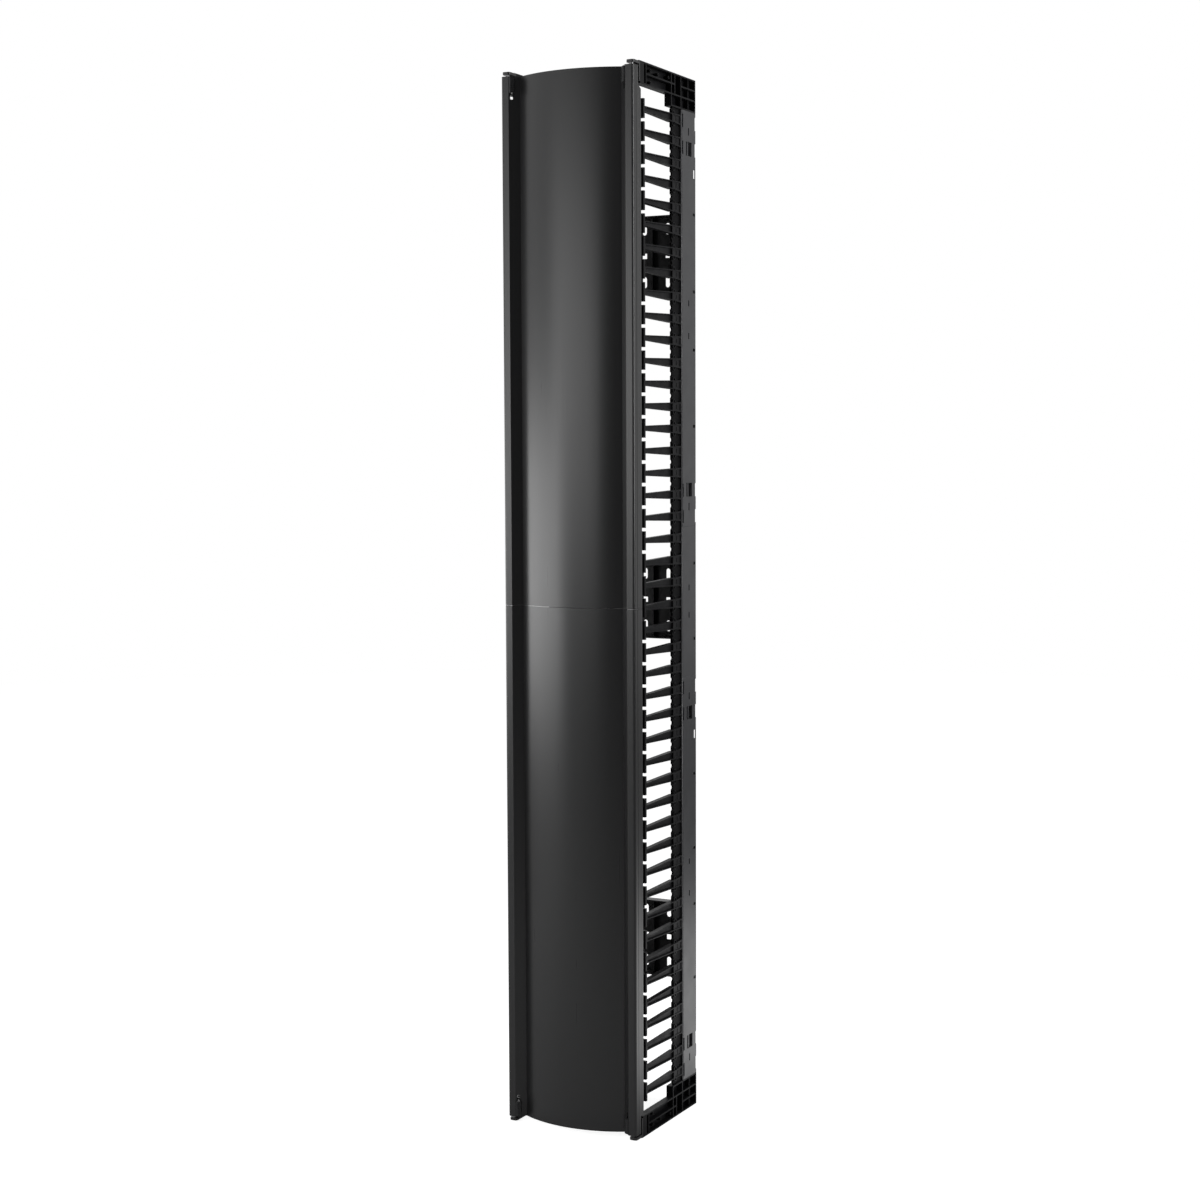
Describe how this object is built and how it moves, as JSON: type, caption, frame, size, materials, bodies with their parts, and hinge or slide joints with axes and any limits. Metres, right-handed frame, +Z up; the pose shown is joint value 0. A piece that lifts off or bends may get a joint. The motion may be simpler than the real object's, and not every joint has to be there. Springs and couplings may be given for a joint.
{
  "type": "vertical cable manager",
  "caption": "Tall double-sided vertical cable manager for equipment racks, with comb fingers along both sides, rear cross panels and a curved front door on spring-pin hinges.",
  "frame": {"origin": "middle of the footprint on the floor, which is the bottom centre of the bounding box", "axes": "+Z up along the height, -Y towards the door at the front, +X to the right of someone facing the door"},
  "size_m": [0.295, 0.2949, 2.134],
  "materials": {
    "plate_paint": "satin black powder coat, slightly glossy",
    "spine_plastic": "fine moulded texture, near black",
    "finger_plastic": "smooth moulded black plastic with a soft gloss",
    "arm_plastic": "smooth moulded black plastic with a soft gloss",
    "bracket_paint": "black powder coat",
    "housing_plastic": "plain black moulded plastic",
    "pin_steel": "turned zinc-plated steel",
    "thumb_plastic": "black moulded plastic with a soft gloss",
    "spring_steel": "bright spring wire",
    "splice_aluminium": "mill-finish extrusion",
    "panel_paint": "black powder coat",
    "door_paint": "satin black coat over an aluminium extrusion",
    "screw_black": "black zinc-plated screw"
  },
  "bodies": {
    "frame": {"side_plate_upper_left": "plate_paint", "side_plate_upper_right": "plate_paint", "side_plate_middle_left": "plate_paint", "side_plate_middle_right": "plate_paint", "side_plate_lower_left": "plate_paint", "side_plate_lower_right": "plate_paint", "spine_upper_left": "spine_plastic", "spine_upper_right": "spine_plastic", "spine_middle_left": "spine_plastic", "spine_middle_right": "spine_plastic", "spine_lower_left": "spine_plastic", "spine_lower_right": "spine_plastic", "fingers_upper_left": "finger_plastic", "fingers_upper_right": "finger_plastic", "fingers_middle_left": "finger_plastic", "fingers_middle_right": "finger_plastic", "fingers_lower_left": "finger_plastic", "fingers_lower_right": "finger_plastic", "end_arm_top_left": "arm_plastic", "end_arm_top_right": "arm_plastic", "end_arm_bottom_left": "arm_plastic", "end_arm_bottom_right": "arm_plastic", "hinge_bracket_top_left": "bracket_paint", "hinge_bracket_top_right": "bracket_paint", "hinge_bracket_bottom_left": "bracket_paint", "hinge_bracket_bottom_right": "bracket_paint", "cross_panel_upper": "panel_paint", "cross_panel_middle": "panel_paint", "cross_panel_lower": "panel_paint", "bracket_screws": "screw_black", "arm_screws": "screw_black", "section_dowels": "pin_steel", "panel_screws": "screw_black"},
    "door": {"door_upper": "door_paint", "door_lower": "door_paint", "door_splice_left": "splice_aluminium", "door_splice_right": "splice_aluminium", "edge_strip_upper_left": "door_paint", "edge_strip_upper_right": "door_paint", "edge_strip_lower_left": "door_paint", "edge_strip_lower_right": "door_paint", "latch_housing_top_left": "housing_plastic", "latch_housing_top_right": "housing_plastic", "latch_housing_bottom_left": "housing_plastic", "latch_housing_bottom_right": "housing_plastic"},
    "latch_top_left": {"latch_pin_top_left": "pin_steel", "latch_thumb_top_left": "thumb_plastic", "latch_spring_top_left": "spring_steel"},
    "latch_top_right": {"latch_pin_top_right": "pin_steel", "latch_thumb_top_right": "thumb_plastic", "latch_spring_top_right": "spring_steel"},
    "latch_bottom_left": {"latch_pin_bottom_left": "pin_steel", "latch_thumb_bottom_left": "thumb_plastic", "latch_spring_bottom_left": "spring_steel"},
    "latch_bottom_right": {"latch_pin_bottom_right": "pin_steel", "latch_thumb_bottom_right": "thumb_plastic", "latch_spring_bottom_right": "spring_steel"}
  },
  "joints": [
    {"name": "door_swing", "type": "hinge", "parent": "frame", "child": "door", "pos_m": [-0.1385, -0.1225, 0], "axis": [0, 0, -1], "range_deg": [0, 120]},
    {"name": "latch_slide_top_left", "type": "slide", "parent": "door", "child": "latch_top_left", "axis": [0, 0, -1], "range_m": [0, 0.009], "stiffness_N_per_m": 300, "springref_m": -0.01, "deforming": ["latch_spring_top_left"]},
    {"name": "latch_slide_top_right", "type": "slide", "parent": "door", "child": "latch_top_right", "axis": [0, 0, -1], "range_m": [0, 0.009], "stiffness_N_per_m": 300, "springref_m": -0.01, "deforming": ["latch_spring_top_right"]},
    {"name": "latch_slide_bottom_left", "type": "slide", "parent": "door", "child": "latch_bottom_left", "axis": [0, 0, 1], "range_m": [0, 0.009], "stiffness_N_per_m": 300, "springref_m": -0.01, "deforming": ["latch_spring_bottom_left"]},
    {"name": "latch_slide_bottom_right", "type": "slide", "parent": "door", "child": "latch_bottom_right", "axis": [0, 0, 1], "range_m": [0, 0.009], "stiffness_N_per_m": 300, "springref_m": -0.01, "deforming": ["latch_spring_bottom_right"]}
  ]
}
